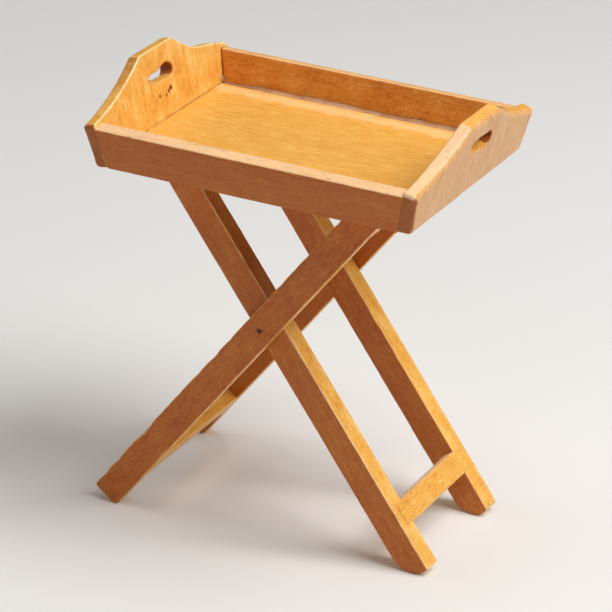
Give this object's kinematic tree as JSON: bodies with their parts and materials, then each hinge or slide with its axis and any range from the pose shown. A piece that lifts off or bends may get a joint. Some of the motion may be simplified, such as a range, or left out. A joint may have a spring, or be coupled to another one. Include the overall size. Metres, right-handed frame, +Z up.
{
  "type": "folding tray table",
  "caption": "Dollhouse folding tray table: a flared wooden tray with raised end handles and hand holes, resting on a crossed folding stand with pivot pins.",
  "frame": {"origin": "on the floor, under the middle of the tray, with both pivot pins straight above it", "axes": "+Z up, X along the tray from handle to handle with the outer frame's feet at -X, +Y toward the back"},
  "size_m": [0.0594, 0.0424, 0.0731],
  "materials": {
    "tray_wood": "honey wood under satin lacquer",
    "stand_wood": "honey wood under satin lacquer",
    "pin_steel": "dulled steel nail"
  },
  "bodies": {
    "outer_frame": {"outer_leg_front": "stand_wood", "outer_leg_back": "stand_wood", "outer_stretcher": "stand_wood", "outer_top_rail": "stand_wood", "pivot_pin_front": "pin_steel", "pivot_pin_back": "pin_steel"},
    "inner_frame": {"inner_leg_front": "stand_wood", "inner_leg_back": "stand_wood", "inner_stretcher": "stand_wood", "inner_top_rail": "stand_wood"},
    "tray": {"tray_floor": "tray_wood", "tray_front_board": "tray_wood", "tray_back_board": "tray_wood", "tray_left_end": "tray_wood", "tray_right_end": "tray_wood", "tray_batten_left": "tray_wood", "tray_batten_right": "tray_wood"}
  },
  "joints": [
    {"name": "stand_fold", "type": "hinge", "parent": "outer_frame", "child": "inner_frame", "pos_m": [0, 0, 0.0368], "axis": [0, 1, 0], "range_deg": [0, 65]},
    {"name": "tray_lift", "type": "slide", "parent": "outer_frame", "child": "tray", "axis": [0, 0, 1], "range_m": [0, 0.0249]}
  ],
  "couplings": [
    {"joint": "stand_fold", "follows": "tray_lift", "rad_per_m": 45.45}
  ]
}
